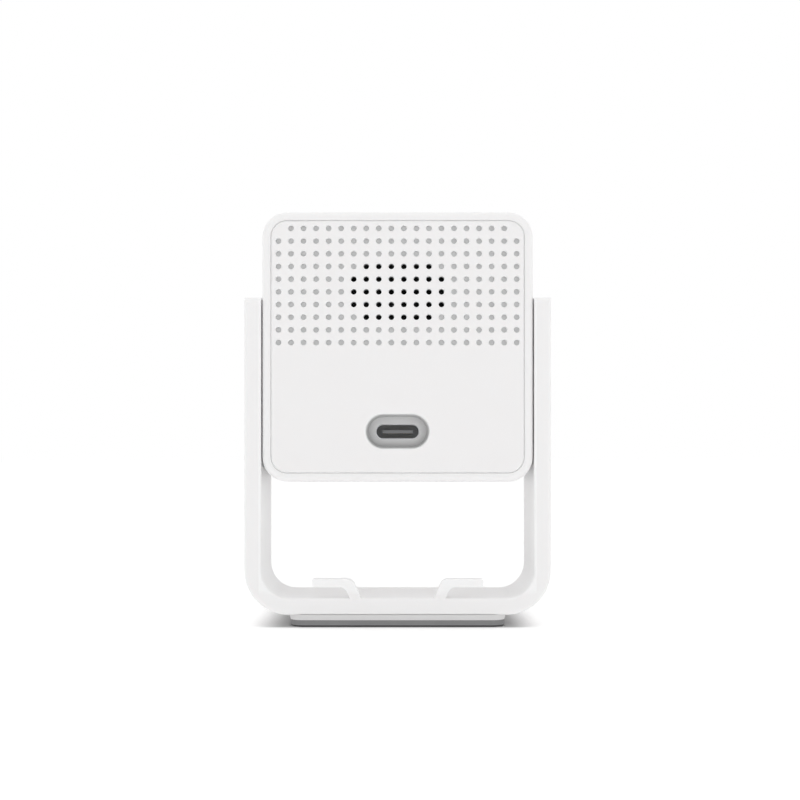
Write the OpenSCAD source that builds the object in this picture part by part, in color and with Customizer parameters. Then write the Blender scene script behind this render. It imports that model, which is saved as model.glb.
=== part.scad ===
// Compact indoor camera: a square head that tilts between the arms of a U-shaped bracket.
// X is across, the lens looks along +Y, and the foot stands on Z = 0.
// The origin is under the middle of the head. Sizes are in millimetres.

/* [Head] */
// Width of the head
head_w = 52.9; // [50:0.1:58]
// Height of the head
head_h = 52.7; // [50:0.1:58]
// Depth of the head, from the rear panel to the front
head_d = 53; // [50:0.5:60]
// Corner radius of the head, seen from behind
head_r = 4.9; // [4:0.1:8]
// Rounding of the rear edge
rear_edge_r = 1.1; // [0.5:0.1:1.5]
// Rounding of the front edge
front_edge_r = 2.4; // [1:0.1:2.8]
// Wall of the head's sleeve
wall = 2.2; // [1.8:0.1:2.6]

/* [Rear panel] */
// Width of the rim round the rear panel
rim = 1.7; // [1.4:0.1:2]
// Width of the seam round the rear panel
seam = 0.12; // [0.1:0.01:0.3]
// Depth of the seam, down to the panel's hidden lip
seam_depth = 0.25; // [0.15:0.05:0.6]
// Chamfer of the rim's inner edge
rim_chamfer = 0.15; // [0.05:0.05:0.3]
// Thickness of the rear panel
panel_t = 2.2; // [1.8:0.1:3]
// Rounding of the rear panel's outer edge
panel_edge_r = 0.25; // [0.1:0.05:0.4]
// Diameter of the speaker holes and of the dimples round them
dot_d = 1.1; // [0.8:0.05:1.4]
// Distance between holes, across
dot_dx = 2.445; // [2:0.005:2.5]
// Distance between holes, up and down
dot_dz = 2.474; // [2:0.002:2.5]
// Number of columns of holes
dot_cols = 20; // [12:2:20]
// Number of rows of holes
dot_rows = 10; // [8:1:10]
// Depth of the blind dimples
dimple_depth = 0.8; // [0.3:0.05:1]
// Width of the slope round each hole and dimple
dot_edge = 0.15; // [0.05:0.01:0.2]
// Height of the top row of holes above the middle of the head
dots_top = 23.1; // [20:0.1:23.2]

/* [Cable inlet] */
// Width of the recess round the inlet
recess_w = 12.4; // [11.5:0.1:16]
// Height of the recess
recess_h = 6.75; // [6:0.05:9]
// Depth of the recess
recess_depth = 3; // [1:0.1:3]
// How far the recess's wall slopes in over its depth
recess_slope = 0.5; // [0.2:0.05:0.8]
// Rounding of the recess's outer edge
recess_edge_r = 0.3; // [0.2:0.05:0.6]
// Rounding of the slot's edge in the recess
slot_edge_r = 0.2; // [0.1:0.05:0.3]
// Distance of the inlet below the middle of the head
inlet_drop = 16.5; // [15:0.1:17]
// Width of the inlet's metal shell, outside
inlet_w = 8.94; // [8.9:0.01:9]
// Height of the inlet's metal shell, outside
inlet_h = 3.26; // [3.2:0.01:3.3]
// Wall of the inlet's metal shell
inlet_wall = 0.3; // [0.25:0.05:0.4]
// Length of the inlet's metal shell
inlet_len = 7.35; // [6.5:0.05:8]
// Width of the tongue in the inlet
tongue_w = 6; // [5.5:0.1:6.7]
// Thickness of the tongue
tongue_t = 0.65; // [0.6:0.05:0.8]

/* [Bracket] */
// Thickness of the bracket's arms and bar
arm_t = 3.3; // [2.8:0.1:4]
// Depth of the bracket, front to back
bracket_d = 22; // [20:0.5:26]
// Outer radius of the bracket's lower corners
bracket_r = 8.65; // [7:0.05:12]
// Gap between the head and each arm
side_gap = 0.2; // [0.18:0.01:0.3]
// Height of the arms above the hinge
arm_over = 9.7; // [8:0.1:14]
// Clear height between the bar and the head
under_head = 22.65; // [22.6:0.05:30]
// Rounding of the bracket's outer edges
outer_edge_r = 0.6; // [0.4:0.1:1.4]
// Rounding of the bracket's inner edges
inner_edge_r = 0.4; // [0.3:0.1:1.2]
// Rounding of the arms' tops
arm_top_r = 1.2; // [0.5:0.1:1.5]

/* [Cable hooks] */
// Distance of each hook's outer end from the middle
hook_reach = 16.7; // [15:0.1:18]
// Distance of each hook's stem from the middle, at the bar
hook_foot = 8.25; // [7:0.05:9]
// Height of the hooks above the bar
hook_h = 3.7; // [3.4:0.1:5]
// Thickness of the hooks' arms
hook_t = 1.5; // [1.2:0.1:1.8]
// Thickness of the hooks' stems
stem_t = 1.95; // [1.6:0.05:2.4]
// Lean of the hooks' stems from upright, in degrees
hook_lean = 25; // [20:1:30]
// Radius under the hooks' arms
hook_fillet = 2; // [1.6:0.1:2.2]
// Radius over the bend of each hook
hook_bend_r = 1.8; // [1.2:0.1:2]
// Radius of the hooks' ends
hook_tip_r = 0.3; // [0.1:0.1:0.6]
// Depth of the hooks, from the bracket's rear face
hook_d = 3; // [2:0.5:12]

/* [Base] */
// Width of the base
base_w = 42.6; // [38:0.1:46]
// Depth of the base
base_d = 42.2; // [38:0.1:46]
// Corner radius of the base, seen from above
base_r = 3; // [2.2:0.1:8]
// Distance of the base behind the bracket's rear face
base_inset = 0.15; // [0.1:0.05:2]
// Thickness of the plinth
plinth_t = 1.05; // [1:0.05:2]
// How far the plinth's side slopes in
plinth_slope = 0.25; // [0.1:0.05:0.6]
// Thickness of the rubber pad
pad_t = 1.35; // [1.2:0.05:3]
// Rounding of the pad's lower edge
pad_edge_r = 0.45; // [0.3:0.05:1]
// Distance between the base's screws
base_screw_dx = 26; // [20:0.5:30]

/* [Hinge] */
// Diameter of the hinge pins
pin_d = 4; // [3:0.1:4.5]
// Diameter of the pins' heads and caps
cap_d = 10; // [8:0.1:12]
// Thickness of the pins' heads
pin_head_t = 1.2; // [1:0.1:1.4]
// Thickness of the caps over the pins' heads
cap_t = 0.6; // [0.4:0.1:0.8]
// Outer diameter of the hinge bushes
bush_d = 6.4; // [6:0.1:7]
// Diameter of the bushes' flanges
bush_flange_d = 9.4; // [9:0.1:10.5]
// Thickness of the bushes' flanges
bush_flange_t = 0.8; // [0.6:0.1:1]
// How far the bushes' flanges stand out of the head's sides
bush_proud = 0.12; // [0.08:0.01:0.14]
// Length of the head's inner bosses
boss_len = 3; // [2:0.1:3.2]
// Thickness of the friction washers
washer_t = 0.5; // [0.3:0.05:0.7]
// Thickness of the retaining rings
clip_t = 0.7; // [0.5:0.05:0.9]

/* [Front] */
// Width of the head's rim round the window
front_rim = 3.2; // [3.1:0.1:4]
// Corner radius of the window
window_r = 2.6; // [2:0.1:3.5]
// Thickness of the window
window_t = 1.5; // [1:0.1:2]
// Distance of the window behind the front edge
window_inset = 0.4; // [0.2:0.1:1]
// Thickness of the front tray
tray_t = 2; // [1.6:0.1:2.6]
// Distance of the lens barrel behind the window's face
lens_inset = 0.5; // [0.3:0.1:1.2]
// Diameter of the lens barrel
barrel_d = 12; // [11:0.1:12.4]
// Length of the lens barrel
barrel_len = 14; // [12:0.1:15]
// Diameter of the barrel's front flange
barrel_flange_d = 14; // [13:0.1:14.4]
// Radius of the ring of lamps
lamp_ring_r = 10.9; // [10.8:0.1:11.2]
// Number of infra-red lamps
lamps = 6; // [4:2:8]
// Diameter of the lamps' windows in the tray
lamp_window_d = 3.8; // [3.2:0.1:4]

/* [Boards] */
// Thickness of the main board
board_t = 1.2; // [0.8:0.1:1.6]
// Width of the main board
main_w = 36; // [34:0.5:36.5]
// Height of the main board
main_h = 42; // [41:0.5:44]
// Length of the rear cover's posts
post_len = 9.3; // [9.3:0.1:11]
// Distance of the posts from the main board's sides
post_side = 2.5; // [2.3:0.1:3]
// Distance of the posts from the main board's top and bottom
post_end = 3; // [2.8:0.1:3.2]
// Diameter of the posts
post_d = 4.4; // [4:0.1:5]
// Size of the sensor board
sensor_w = 28; // [27:0.5:29]
// Thickness of the small boards
small_board_t = 0.8; // [0.6:0.1:1]
// Distance from the lens axis to the sensor board's screws, across and up
sensor_screw = 11.3; // [11:0.1:11.6]
// Diameter of the screws' threads
screw_d = 2; // [1.6:0.1:2.2]
// Diameter of the screws' heads
screw_head_d = 3.7; // [3.4:0.1:4]

/* [Speaker] */
// Width of the speaker
speaker_w = 24; // [22:0.5:25]
// Height of the speaker
speaker_h = 16; // [14:0.5:16.5]
// Depth of the speaker's frame
speaker_d = 4; // [3:0.1:4.2]
// Height of the speaker above the middle of the head
speaker_up = 10.75; // [10.5:0.05:11]

/* [Setup button] */
// Diameter of the button under the head
button_d = 4.8; // [4:0.1:6]
// Travel of the button
button_travel = 0.4; // [0.2:0.05:0.5]
// Distance of the button from the rear face
button_back = 7; // [6.2:0.1:7.5]

/* [Clearances] */
// Radial clearance of a shaft or slide that moves
run_fit = 0.08; // [0.05:0.01:0.1]
// Gap round a piece that drops into its seat
seat_fit = 0.15; // [0.1:0.05:0.25]

/* [Hidden] */
$fn = 64;

white = "#efeded";
black = "#1b1c1e";
rubber = "#5f5f60";
steel = "#b9bcc0";
brass = "#c9a868";
board_green = "#1d5a3c";
copper = "#b87333";

// How far a cut runs past the face it opens
over = 1;

// The faces of the head
rear_y = -head_d / 2;
front_y = head_d / 2;
panel_y = rear_y + panel_t;

// The stand, from the floor up
plinth_top = pad_t + plinth_t;
bar_top = plinth_top + arm_t;
pivot_y = rear_y + bracket_d / 2;
pivot_z = bar_top + under_head + head_h / 2;
arm_x = head_w / 2 + side_gap;
arm_top = pivot_z + arm_over;
inner_r = bracket_r - arm_t;

// The inside of the head
cavity_w = head_w - 2 * wall;
cavity_h = head_h - 2 * wall;
cavity_r = head_r - wall;

// The front, from the window back
window_w = head_w - 2 * front_rim;
window_h = head_h - 2 * front_rim;
window_front = front_y - window_inset;
window_back = window_front - window_t;
tray_back = window_back - tray_t;
front_lip = 2;

// The boards, from the rear
post_dx = main_w - 2 * post_side;
post_dz = main_h - 2 * post_end;
main_back = panel_y + post_len;
main_front = main_back + board_t;
thread_len = 4;
thread_room = 1;
tray_thread = 6;
ring_gap = 2.2;
ring_front = tray_back - ring_gap;
ring_back = ring_front - small_board_t;
barrel_front = window_front - lens_inset;
barrel_back = barrel_front - barrel_len;
holder_len = 4.6;
holder_socket = 7;
sensor_front = barrel_back + 1.4 - holder_len - 1.2;
sensor_back = sensor_front - small_board_t;

// ---- Shapes that repeat ----

// Extrudes an outline drawn in X and Z from y0 forward to y1
module between(y0, y1) {
  translate([0, y1, 0])
    rotate([90, 0, 0])
      linear_extrude(height = y1 - y0)
        children();
}

// Moves a piece to a place in the head, measured from the middle of the head
module in_head(x = 0, z = 0) {
  translate([x, 0, pivot_z + z])
    children();
}

// Repeats a piece on both sides
module both_sides() {
  children();
  mirror([1, 0, 0])
    children();
}

// Repeats a piece at the four corners of a rectangle
module four_corners(dx, dz) {
  for (sx = [-1, 1], sz = [-1, 1])
    translate([sx * dx / 2, 0, sz * dz / 2])
      children();
}

// A rectangle with round corners, about the middle
module rounded(w, h, r) {
  square([w - 2 * r, h], center = true);
  square([w, h - 2 * r], center = true);
  for (sx = [-1, 1], sy = [-1, 1])
    translate([sx * (w / 2 - r), sy * (h / 2 - r)])
      circle(r);
}

// A bar with round ends, about the middle
module stadium(w, h) {
  square([w - h, h], center = true);
  for (s = [-1, 1])
    translate([s * (w - h) / 2, 0])
      circle(h / 2);
}

// A quarter of a disc in the corner that points to +X and +Y
module quarter(r) {
  intersection() {
    circle(r);
    square(r);
  }
}

// The profile of a rounded edge: x runs outward, y up, from 0 to t, with radii at foot and top
module edge_profile(r, t, foot_r, top_r) {
  translate([0, foot_r])
    square([r, t - foot_r - top_r]);
  translate([0, t - top_r - over / 100])
    square([r - top_r, top_r + over / 100]);
  square([r - foot_r, foot_r + over / 100]);
  translate([r - top_r, t - top_r])
    quarter(top_r);
  translate([r - foot_r, foot_r])
    mirror([0, 1])
      quarter(foot_r);
}

// Sweeps a profile round a rectangle with corner radius r, with the inside filled from 0 to t
module swept_block(w, h, t, r) {
  side = [h, w, h, w];
  reach = [w, h, w, h];
  for (i = [0:3])
    rotate(90 * i)
      translate([reach[i] / 2 - r, side[i] / 2 - r, 0]) {
        rotate_extrude(angle = 90)
          children();
        rotate([90, 0, 0])
          linear_extrude(height = side[i] - 2 * r)
            children();
      }
  translate([r - w / 2, r - h / 2, 0])
    cube([w - 2 * r, h - 2 * r, t]);
}

// A screw along +Z with its head below z = 0 and its thread above
module screw(thread, head_t) {
  translate([0, 0, -head_t])
    cylinder(d = screw_head_d, h = head_t);
  cylinder(d = screw_d, h = thread);
}

// ---- Stand ----

// Section of the bracket's strip: x from the inner face out, y along the bracket's depth
module strip_section() {
  translate([inner_edge_r, 0])
    square([arm_t - inner_edge_r - outer_edge_r, bracket_d]);
  translate([0, inner_edge_r])
    square([inner_edge_r + over / 100, bracket_d - 2 * inner_edge_r]);
  translate([arm_t - outer_edge_r - over / 100, outer_edge_r])
    square([outer_edge_r + over / 100, bracket_d - 2 * outer_edge_r]);
  for (m = [0, 1])
    translate([0, m * bracket_d])
      mirror([0, m]) {
        translate([inner_edge_r, inner_edge_r])
          rotate(180)
            quarter(inner_edge_r);
        translate([arm_t - outer_edge_r, outer_edge_r])
          rotate(-90)
            quarter(outer_edge_r);
      }
}

// Side view of an arm's top, with its rounded edges
module arm_side(z0) {
  h = arm_top - z0;
  translate([0, arm_top_r])
    square([bracket_d, h - 2 * arm_top_r]);
  translate([arm_top_r, 0])
    square([bracket_d - 2 * arm_top_r, h]);
  square([bracket_d, h / 2]);
  for (y = [arm_top_r, bracket_d - arm_top_r])
    translate([y, h - arm_top_r])
      circle(arm_top_r);
}

module bracket_arm() {
  z0 = bar_top + inner_r;
  intersection() {
    translate([arm_x, rear_y, z0])
      linear_extrude(height = arm_top - z0)
        strip_section();
    translate([arm_x - over, rear_y, z0])
      rotate([90, 0, 90])
        linear_extrude(height = arm_t + 2 * over)
          arm_side(z0);
  }
}

// One hook, seen from behind: a stem that leans outward, a bend, and an arm
module hook_outline() {
  top = bar_top + hook_h;
  under = top - hook_t;
  lean = [sin(hook_lean), cos(hook_lean)];
  slope = lean[0] / lean[1];
  half = stem_t / 2 / lean[1];
  low = bar_top - arm_t / 2;
  // The stem's two faces at a height z, and the centres of the bend and of the fillet
  inner = function (z) hook_foot - half + (z - bar_top) * slope;
  outer = function (z) hook_foot + half + (z - bar_top) * slope;
  bend = [inner(top - hook_bend_r) + hook_bend_r / lean[1], top - hook_bend_r];
  fillet = [outer(under - hook_fillet) + hook_fillet / lean[1], under - hook_fillet];
  difference() {
    polygon([
      [inner(low), low],
      [inner(top), top],
      [hook_reach - hook_tip_r, top],
      [hook_reach - hook_tip_r, under],
      [fillet[0], under],
      fillet,
      fillet - hook_fillet * [lean[1], -lean[0]],
      [outer(low), low]
    ]);
    translate(fillet)
      circle(hook_fillet);
    difference() {
      polygon([
        bend,
        bend + [-lean[1], lean[0]] * 2 * hook_bend_r,
        bend + [-1, 1] * 2 * hook_bend_r,
        bend + [0, 1] * 2 * hook_bend_r
      ]);
      translate(bend)
        circle(hook_bend_r);
    }
  }
  translate([hook_reach - 2 * hook_tip_r, under + hook_tip_r])
    square([2 * hook_tip_r, hook_t - 2 * hook_tip_r]);
  for (z = [under + hook_tip_r, top - hook_tip_r])
    translate([hook_reach - hook_tip_r, z])
      circle(hook_tip_r);
}

module bracket() {
  color(white)
    difference() {
      union() {
        both_sides() {
          bracket_arm();
          translate([arm_x - inner_r, rear_y, bar_top + inner_r])
            rotate([-90, 0, 0])
              rotate_extrude(angle = 90)
                translate([inner_r, 0])
                  strip_section();
          between(rear_y + over / 10, rear_y + hook_d)
            hook_outline();
        }
        translate([inner_r - arm_x, rear_y, bar_top])
          rotate([0, 90, 0])
            linear_extrude(height = 2 * (arm_x - inner_r))
              strip_section();
      }
      both_sides()
        translate([arm_x, pivot_y, pivot_z])
          rotate([0, 90, 0]) {
            translate([0, 0, -over])
              cylinder(d = pin_d, h = arm_t + 2 * over);
            translate([0, 0, arm_t - pin_head_t - cap_t])
              cylinder(d = cap_d, h = pin_head_t + cap_t + over);
          }
      base_screw_places()
        translate([0, 0, -over])
          cylinder(d = screw_d, h = over + arm_t * 0.7);
    }
}

// The screws that hold the plinth, from under the bar
module base_screw_places() {
  for (s = [-1, 1])
    translate([s * base_screw_dx / 2, pivot_y, plinth_top])
      children();
}

base_y = rear_y + base_inset + base_d / 2;
pad_w = base_w - 2 * plinth_slope;
pad_d = base_d - 2 * plinth_slope;

module base_plinth() {
  color("#cfcfcf")
    difference() {
      translate([0, base_y, pad_t])
        swept_block(base_w, base_d, plinth_t, base_r)
          polygon([[0, 0], [base_r - plinth_slope, 0], [base_r, plinth_t], [0, plinth_t]]);
      base_screw_places()
        translate([0, 0, -plinth_t - over])
          cylinder(d = screw_d, h = plinth_t + 2 * over);
      base_screw_places()
        translate([0, 0, -plinth_t])
          base_screw_head();
    }
}

// Countersunk head, from the plinth's underside up
module base_screw_head() {
  cylinder(d1 = screw_head_d, d2 = screw_d, h = plinth_t * 0.8);
}

module foot_pad() {
  color(rubber)
    translate([0, base_y, 0])
      swept_block(pad_w, pad_d, pad_t, base_r - plinth_slope)
        pad_profile();
}

module pad_profile() {
  r = base_r - plinth_slope;
  translate([0, pad_edge_r])
    square([r, pad_t - pad_edge_r]);
  square([r - pad_edge_r, pad_t]);
  translate([r - pad_edge_r, pad_edge_r])
    mirror([0, 1])
      quarter(pad_edge_r);
}

module base_screws() {
  color(steel)
    base_screw_places() {
      translate([0, 0, -plinth_t])
        base_screw_head();
      translate([0, 0, -plinth_t * 0.9])
        cylinder(d = screw_d, h = plinth_t * 0.9 + arm_t * 0.65);
    }
}

// ---- Hinge ----

// Along the hinge from the arm's outer face inward
hinge_out = arm_x + arm_t;
pin_seat = hinge_out - cap_t - pin_head_t;
boss_in = head_w / 2 - wall - boss_len;
washer_gap = 0.05;
bush_in = boss_in - washer_gap;
boss_wall = 2;
clip_out = bush_in - 2 * washer_gap - washer_t;
clip_in = clip_out - clip_t;
pin_in = clip_in - clip_t;
groove_d = pin_d * 0.75;

// Places a piece on the hinge's axis at distance x, with its +Z pointing outward
module on_hinge(x) {
  translate([x, pivot_y, pivot_z])
    rotate([0, 90, 0])
      children();
}

module pivot_pins() {
  color(steel)
    both_sides() {
      on_hinge(pin_seat)
        cylinder(d = cap_d - 2 * seat_fit, h = pin_head_t);
      on_hinge(clip_out)
        cylinder(d = pin_d, h = pin_seat - clip_out);
      on_hinge(clip_in)
        cylinder(d = groove_d, h = clip_t);
      on_hinge(pin_in)
        cylinder(d = pin_d, h = clip_in - pin_in);
    }
}

module pivot_caps() {
  color(white)
    both_sides()
      on_hinge(hinge_out - cap_t)
        cylinder(d = cap_d - seat_fit, h = cap_t);
}

module pivot_bushes() {
  color("#e6e2d4")
    both_sides()
      difference() {
        union() {
          on_hinge(bush_in)
            cylinder(d = bush_d, h = head_w / 2 - bush_in);
          on_hinge(head_w / 2 + bush_proud - bush_flange_t)
            cylinder(d = bush_flange_d, h = bush_flange_t);
        }
        on_hinge(bush_in - over)
          cylinder(d = pin_d + 2 * run_fit, h = head_w / 2 + bush_proud - bush_in + 2 * over);
      }
}

module friction_washers() {
  color(steel)
    both_sides()
      difference() {
        on_hinge(clip_out + washer_gap)
          cylinder(d = bush_flange_d, h = washer_t);
        on_hinge(clip_out - over)
          cylinder(d = pin_d + 2 * run_fit, h = washer_t + 2 * over);
      }
}

module pivot_clips() {
  color("#55585c")
    both_sides()
      difference() {
        on_hinge(clip_in)
          cylinder(d = pin_d * 2, h = clip_t);
        on_hinge(clip_in - over)
          cylinder(d = groove_d, h = clip_t + 2 * over);
        translate([clip_in - over, pivot_y - groove_d / 2, pivot_z])
          cube([clip_t + 2 * over, groove_d, pin_d * 2]);
      }
}

// ---- Head shell ----

rail_d = 5.4;
rail_inset = 3.6;
rail_x = cavity_w / 2 - rail_inset;
rail_z = cavity_h / 2 - rail_inset;
rail_len = 12;
tab_w = 6;
tab_t = 1.3;
tab_len = 7;
tab_x = 15;
catch_h = 0.7;
catch_len = 1.6;

module head_outer() {
  translate([0, front_y, pivot_z])
    rotate([90, 0, 0])
      swept_block(head_w, head_h, head_d, head_r)
        edge_profile(head_r, head_d, front_edge_r, rear_edge_r);
}

module rail() {
  between(tray_back - rail_len, tray_back) {
    circle(d = rail_d);
    square([rail_inset + over, rail_d / 2]);
    square([rail_d / 2, rail_inset + over]);
  }
}

// Pockets in the shell's walls for the rear cover's catches
module catch_pockets(clearance) {
  for (sx = [-1, 1], m = [0, 1])
    mirror([0, 0, m])
      translate([
        sx * tab_x - tab_w / 2 - clearance,
        panel_y + tab_len - catch_len - clearance,
        cavity_h / 2 - seat_fit
      ])
        cube([tab_w + 2 * clearance, catch_len + 2 * clearance, catch_h + seat_fit + clearance]);
}

// The opening for the rear panel, with a chamfered mouth
module rim_opening() {
  r = head_r - rim;
  d = panel_t + over;
  translate([0, panel_y, 0])
    rotate([90, 0, 0])
      swept_block(head_w - 2 * rim, head_h - 2 * rim, d, r)
        polygon([
          [0, 0],
          [r, 0],
          [r, panel_t - rim_chamfer],
          [r + rim_chamfer, panel_t],
          [r + rim_chamfer, d],
          [0, d]
        ]);
}

module head_shell() {
  color(white)
    difference() {
      union() {
        difference() {
          head_outer();
          in_head() {
            rim_opening();
            between(rear_y, tray_back - front_lip)
              rounded(cavity_w, cavity_h, cavity_r);
            between(tray_back - front_lip - over, front_y + over)
              rounded(window_w, window_h, window_r);
            catch_pockets(seat_fit);
          }
        }
        both_sides()
          on_hinge(boss_in)
            cylinder(d = bush_d + 2 * boss_wall, h = boss_len + wall / 2);
        in_head()
          for (sx = [0, 1], sz = [0, 1])
            mirror([sx, 0, 0])
              mirror([0, 0, sz])
                translate([rail_x, 0, rail_z])
                  rail();
      }
      both_sides() {
        on_hinge(boss_in - over)
          cylinder(d = bush_d, h = wall + boss_len + 2 * over);
        on_hinge(head_w / 2 + bush_proud - bush_flange_t)
          cylinder(d = bush_flange_d, h = bush_flange_t + over);
      }
      in_head()
        tray_screw_places()
          cylinder(d = screw_d, h = tray_thread + 2 * thread_room);
      translate([0, rear_y + button_back, pivot_z - head_h / 2 - over])
        cylinder(d = button_d + 2 * run_fit, h = wall + 2 * over);
    }
}

// Four screws from the tray's front face back into the rails, with +Z pointing backward
module tray_screw_places() {
  four_corners(2 * rail_x, 2 * rail_z)
    translate([0, tray_back, 0])
      rotate([90, 0, 0])
        children();
}

// ---- Rear cover ----

cover_w = head_w - 2 * rim - 2 * seam;
cover_h = head_h - 2 * rim - 2 * seam;
cover_r = head_r - rim - seam;
dots_first = -(dot_cols - 1) / 2 * dot_dx;
pocket_wall = 1;
pocket_floor = 0.9;
slot_gap_x = 0.15;
slot_gap_z = 0.2;
slot_w = inlet_w - 2 * inlet_wall + slot_gap_x;
slot_h = inlet_h - 2 * inlet_wall + slot_gap_z;
cup_wall = 1.2;
cup_d = 3;
lip_gap = 0.03;
lip = seam - lip_gap;

// A dot is open over the middle of the speaker, and a dimple elsewhere
function dot_open(x, z) =
  let (u = abs(x), v = abs(z - speaker_up))
  u < 3.6 * dot_dx && v < 2.6 * dot_dz && !(u > 2.8 * dot_dx && v > 1.6 * dot_dz);

// The top row lacks its two end dots, to clear the panel's corners
function dot_there(col, row) = !(row == 0 && (col == 0 || col == dot_cols - 1));

module dots(open, y0, y1) {
  between(y0, y1)
    for (col = [0:dot_cols - 1], row = [0:dot_rows - 1]) {
      x = dots_first + col * dot_dx;
      z = dots_top - row * dot_dz;
      if (dot_there(col, row) && dot_open(x, z) == open)
        translate([x, z])
          circle(d = dot_d);
    }
}

// Half the section of a pocket: x out from its middle line, y into the part, with a round mouth
module pocket_section(half, depth, slope, edge_r) {
  difference() {
    polygon([
      [0, -over],
      [half + edge_r, -over],
      [half + edge_r, edge_r],
      [half, edge_r],
      [half - slope, depth],
      [0, depth]
    ]);
    translate([half + edge_r, edge_r])
      circle(edge_r);
  }
}

// A long round pocket into a face at y0, w by h at its mouth
module pocket(y0, w, h, depth, slope, edge_r) {
  run = w - h;
  translate([0, y0, 0])
    rotate([-90, 0, 0]) {
      for (s = [-1, 1])
        translate([s * run / 2, 0, 0])
          rotate_extrude()
            pocket_section(h / 2, depth, slope, edge_r);
      for (m = [0, 1])
        mirror([0, m, 0])
          translate([-run / 2, 0, 0])
            rotate([90, 0, 90])
              linear_extrude(height = run)
                pocket_section(h / 2, depth, slope, edge_r);
    }
}

// The cone that breaks the edge of each hole and dimple
module dot_edges() {
  for (col = [0:dot_cols - 1], row = [0:dot_rows - 1])
    if (dot_there(col, row))
      translate([dots_first + col * dot_dx, rear_y, dots_top - row * dot_dz])
        rotate([-90, 0, 0])
          cylinder(d1 = dot_d + 2 * dot_edge, d2 = dot_d, h = dot_edge);
}

module rear_cover() {
  color(white)
    in_head()
      difference() {
        union() {
          translate([0, panel_y, 0])
            rotate([90, 0, 0])
              swept_block(cover_w, cover_h, panel_t, cover_r)
                edge_profile(cover_r, panel_t, panel_edge_r, panel_edge_r);
          // Lip behind the seam
          between(rear_y + seam_depth, panel_y - panel_edge_r)
            rounded(cover_w + 2 * lip, cover_h + 2 * lip, cover_r + lip);
          // Pocket round the inlet
          translate([0, 0, -inlet_drop])
            between(panel_y - over, rear_y + recess_depth + pocket_floor)
              stadium(recess_w + 2 * pocket_wall, recess_h + 2 * pocket_wall);
          // Cup round the speaker
          translate([0, 0, speaker_up])
            between(panel_y - over, panel_y + cup_d)
              stadium(speaker_w + 2 * seat_fit + 2 * cup_wall, speaker_h + 2 * seat_fit + 2 * cup_wall);
          // Posts for the main board
          four_corners(post_dx, post_dz)
            between(panel_y - over, main_back)
              circle(d = post_d);
          cover_tabs();
          board_ledge();
        }
        dots(true, rear_y - over, panel_y + over);
        dots(false, rear_y - over, rear_y + dimple_depth);
        dot_edges();
        translate([0, 0, speaker_up])
          between(panel_y, panel_y + cup_d + over)
            stadium(speaker_w + 2 * seat_fit, speaker_h + 2 * seat_fit);
        translate([0, 0, -inlet_drop]) {
          pocket(rear_y, recess_w, recess_h, recess_depth, recess_slope, recess_edge_r);
          pocket(rear_y + recess_depth, slot_w, slot_h, pocket_floor + over, 0, slot_edge_r);
        }
        four_corners(post_dx, post_dz)
          between(main_back - thread_len - thread_room, main_back + over)
            circle(d = screw_d);
      }
}

// Four tabs with catches that hold the cover in the shell
module cover_tabs() {
  for (sx = [-1, 1], m = [0, 1])
    mirror([0, 0, m]) {
      translate([sx * tab_x - tab_w / 2, panel_y - over, cavity_h / 2 - seat_fit - tab_t])
        cube([tab_w, tab_len + over, tab_t]);
      translate([sx * tab_x - tab_w / 2, panel_y + tab_len - catch_len, cavity_h / 2 - seat_fit - tab_t])
        cube([tab_w, catch_len, tab_t + catch_h]);
    }
}

usb_board_w = 20;
usb_board_t = 1;
usb_top = -inlet_drop - inlet_h / 2;
usb_gap = 0.1;
usb_rear = rear_y + recess_depth + pocket_floor + usb_gap;
ledge_w = 2;
ledge_t = 1.4;

// Two ledges under the inlet's board
module board_ledge() {
  for (sx = [-1, 1])
    translate([
      sx * (usb_board_w - ledge_w) / 2 - ledge_w / 2,
      panel_y - over,
      usb_top - usb_board_t - ledge_t
    ])
      cube([ledge_w, post_len - 1 + over, ledge_t]);
}

// ---- Front ----

// The microphone and the status light sit side by side near the window's lower edge
mic_up = 4.65;
mic_z = mic_up - window_h / 2;
status_x = 3.2;
mic_bore = 1;
boot_d = 2.3;
pipe_d = 1.6;
light_up = 3.5;
light_hole_d = 2;
pillar_d = 2.4;

module front_tray() {
  color(black)
    in_head()
      difference() {
        union() {
          between(tray_back, window_back)
            rounded(window_w - 2 * seat_fit, window_h - 2 * seat_fit, window_r - seat_fit);
          four_corners(2 * sensor_screw, 2 * sensor_screw)
            between(sensor_front, tray_back + over)
              circle(d = post_d);
          for (s = [-1, 1])
            translate([0, 0, s * lamp_ring_r])
              between(ring_front, tray_back + over)
                circle(d = pillar_d);
        }
        between(tray_back - over, window_back + over) {
          circle(d = barrel_flange_d + 2 * (baffle_gap + baffle_t + seat_fit));
          for (i = [0:lamps - 1])
            rotate(360 / lamps * i)
              translate([lamp_ring_r, 0])
                circle(d = lamp_window_d);
          translate([-status_x, mic_z])
            circle(d = boot_d + seat_fit);
          translate([status_x, mic_z])
            circle(d = pipe_d + 2 * seat_fit);
          translate([0, mic_z + light_up])
            circle(d = light_hole_d);
        }
        tray_screw_places()
          translate([0, 0, -tray_t - over])
            cylinder(d = screw_d + 2 * seat_fit, h = tray_t + 2 * over);
        tray_screw_places()
          translate([0, 0, -tray_t - over])
            cylinder(d = screw_head_d + 2 * seat_fit, h = over + tray_t / 2);
        four_corners(2 * sensor_screw, 2 * sensor_screw)
          between(sensor_front - over, sensor_front + thread_len + thread_room)
            circle(d = screw_d);
      }
}

module front_window() {
  color("#0c0d10")
    in_head()
      difference() {
        between(window_back, window_front)
          rounded(window_w - 2 * seat_fit, window_h - 2 * seat_fit, window_r - seat_fit);
        between(window_back - over, window_front + over) {
          circle(d = barrel_flange_d + 2 * baffle_gap);
          translate([-status_x, mic_z])
            circle(d = mic_bore);
        }
      }
}

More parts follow.
